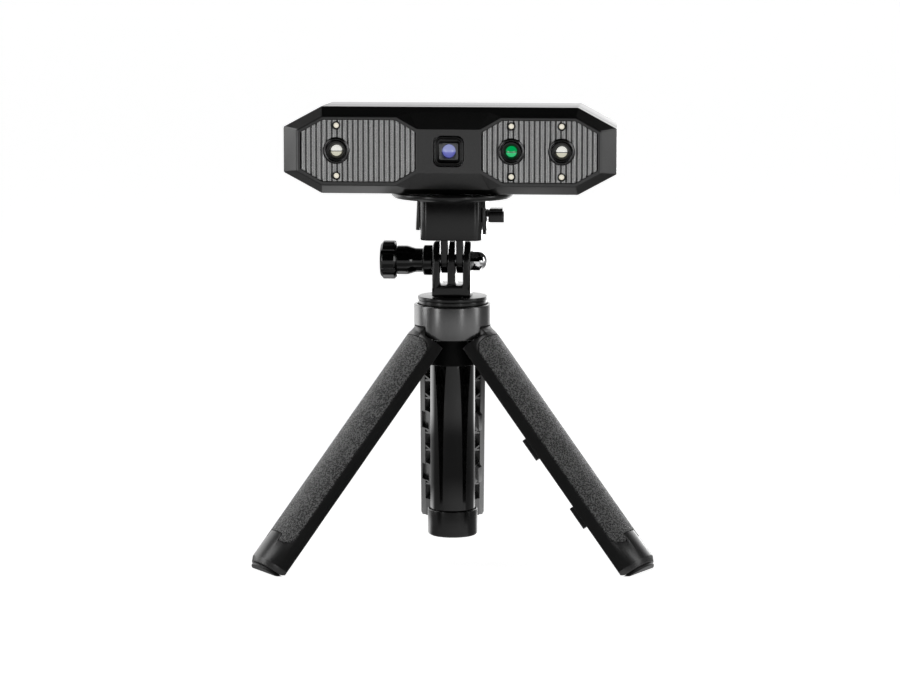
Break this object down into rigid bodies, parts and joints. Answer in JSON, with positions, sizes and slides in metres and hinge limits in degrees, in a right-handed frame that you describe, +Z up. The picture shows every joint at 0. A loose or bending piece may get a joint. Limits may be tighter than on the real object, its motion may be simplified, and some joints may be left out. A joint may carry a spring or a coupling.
{
  "type": "three-d scanner",
  "caption": "Compact structured-light 3-D scanner with ribbed face panels on a folding pocket tripod with telescoping pole, clevis tilt joint, thumbscrew and quick-release block.",
  "frame": {"origin": "on the table, below the middle of the box around the whole object with its legs open and its pole closed; the pole stands 17.8 mm in front of it", "axes": "+Z up along the pole; the scanner looks along -Y, turned 4.9 degrees on its stud towards -X; +X is to the right seen from the front"},
  "size_m": [0.155, 0.1382, 0.1764],
  "materials": {
    "matte_black": "fine matte moulded black",
    "gloss_black": "polished black",
    "leg_plastic": "satin dark grey",
    "grip_rubber": "grained soft charcoal",
    "foot_rubber": "matte black rubber",
    "collar_metal": "satin metallic grey",
    "housing_metal": "satin metallic charcoal",
    "panel_metal": "satin metallic grey, ribbed",
    "steel": "plain",
    "chrome": "bright",
    "brass": "turned",
    "board": "green laminate",
    "green_lens": "green coated",
    "clear_lens": "clear coated",
    "blue_lens": "blue coated",
    "window_glass": "dark",
    "light_cap": "clear warm white"
  },
  "bodies": {
    "stand": {"tube_cap": "matte_black", "outer_tube": "gloss_black", "collar_ring": "collar_metal", "leg_hub": "matte_black", "left_leg_pin": "steel", "right_leg_pin": "steel", "rear_leg_pin": "steel"},
    "left_leg": {"left_leg_shell": "leg_plastic", "left_leg_grip": "grip_rubber", "left_foot_pad": "foot_rubber"},
    "right_leg": {"right_leg_shell": "leg_plastic", "right_leg_grip": "grip_rubber", "right_foot_pad": "foot_rubber"},
    "rear_leg": {"rear_leg_shell": "leg_plastic", "rear_leg_grip": "grip_rubber", "rear_foot_pad": "foot_rubber"},
    "middle_section": {"middle_tube": "steel"},
    "inner_section": {"inner_tube": "steel", "pole_head": "matte_black"},
    "clevis_body": {"clevis": "matte_black", "cap_nut": "chrome"},
    "thumbscrew": {"thumbscrew_knob": "gloss_black", "thumbscrew_bolt": "steel"},
    "latch": {"release_latch": "matte_black"},
    "button": {"scan_button": "matte_black"},
    "head": {"tongue_block": "matte_black", "receiver_block": "matte_black", "mounting_flange": "matte_black", "mounting_screw": "steel", "front_housing": "housing_metal", "rear_housing": "housing_metal", "left_ribbed_panel": "panel_metal", "right_ribbed_panel": "panel_metal", "left_camera_barrel": "gloss_black", "colour_camera_barrel": "gloss_black", "right_camera_barrel": "gloss_black", "left_camera_lens": "clear_lens", "colour_camera_lens": "green_lens", "right_camera_lens": "clear_lens", "left_upper_fill_light": "light_cap", "left_lower_fill_light": "light_cap", "colour_upper_fill_light": "light_cap", "colour_lower_fill_light": "light_cap", "right_upper_fill_light": "light_cap", "right_lower_fill_light": "light_cap", "projector_frame": "matte_black", "projector_window": "window_glass", "projector_lens": "blue_lens", "optical_bench": "steel", "main_board": "board", "usb_socket": "steel", "status_light": "light_cap", "tripod_insert": "brass", "rear_screw_1": "steel", "rear_screw_2": "steel", "rear_screw_3": "steel", "rear_screw_4": "steel"}
  },
  "joints": [
    {"name": "left_leg_fold", "type": "hinge", "parent": "stand", "child": "left_leg", "pos_m": [-0.00979, -0.02345, 0.08955], "axis": [0.5, -0.866, 0], "range_deg": [0, 40]},
    {"name": "right_leg_fold", "type": "hinge", "parent": "stand", "child": "right_leg", "pos_m": [0.00979, -0.02345, 0.08955], "axis": [0.5, 0.866, 0], "range_deg": [0, 40]},
    {"name": "rear_leg_fold", "type": "hinge", "parent": "stand", "child": "rear_leg", "pos_m": [0, -0.0065, 0.08955], "axis": [-1, 0, 0], "range_deg": [0, 40]},
    {"name": "middle_section_slide", "type": "slide", "parent": "stand", "child": "middle_section", "axis": [0, 0, 1], "range_m": [0, 0.06]},
    {"name": "inner_section_slide", "type": "slide", "parent": "middle_section", "child": "inner_section", "axis": [0, 0, 1], "range_m": [0, 0.06]},
    {"name": "head_pan", "type": "hinge", "parent": "inner_section", "child": "clevis_body", "pos_m": [0, -0.0178, 0.1155], "axis": [0, 0, 1], "continuous": true},
    {"name": "head_tilt", "type": "hinge", "parent": "clevis_body", "child": "head", "pos_m": [0, -0.0178, 0.1155], "axis": [0.9963, -0.0854, 0], "range_deg": [-90, 90]},
    {"name": "thumbscrew_turn", "type": "hinge", "parent": "clevis_body", "child": "thumbscrew", "pos_m": [0, -0.0178, 0.1155], "axis": [-0.9963, 0.0854, 0], "range_deg": [0, 180]},
    {"name": "release_latch_pull", "type": "slide", "parent": "head", "child": "latch", "axis": [0.9963, -0.0854, 0], "range_m": [0, 0.0026], "stiffness_N_per_m": 500, "springref_m": -0.001},
    {"name": "scan_button_press", "type": "slide", "parent": "head", "child": "button", "axis": [-0.0854, -0.9963, 0], "range_m": [0, 0.0008], "stiffness_N_per_m": 900, "springref_m": -0.0006}
  ]
}
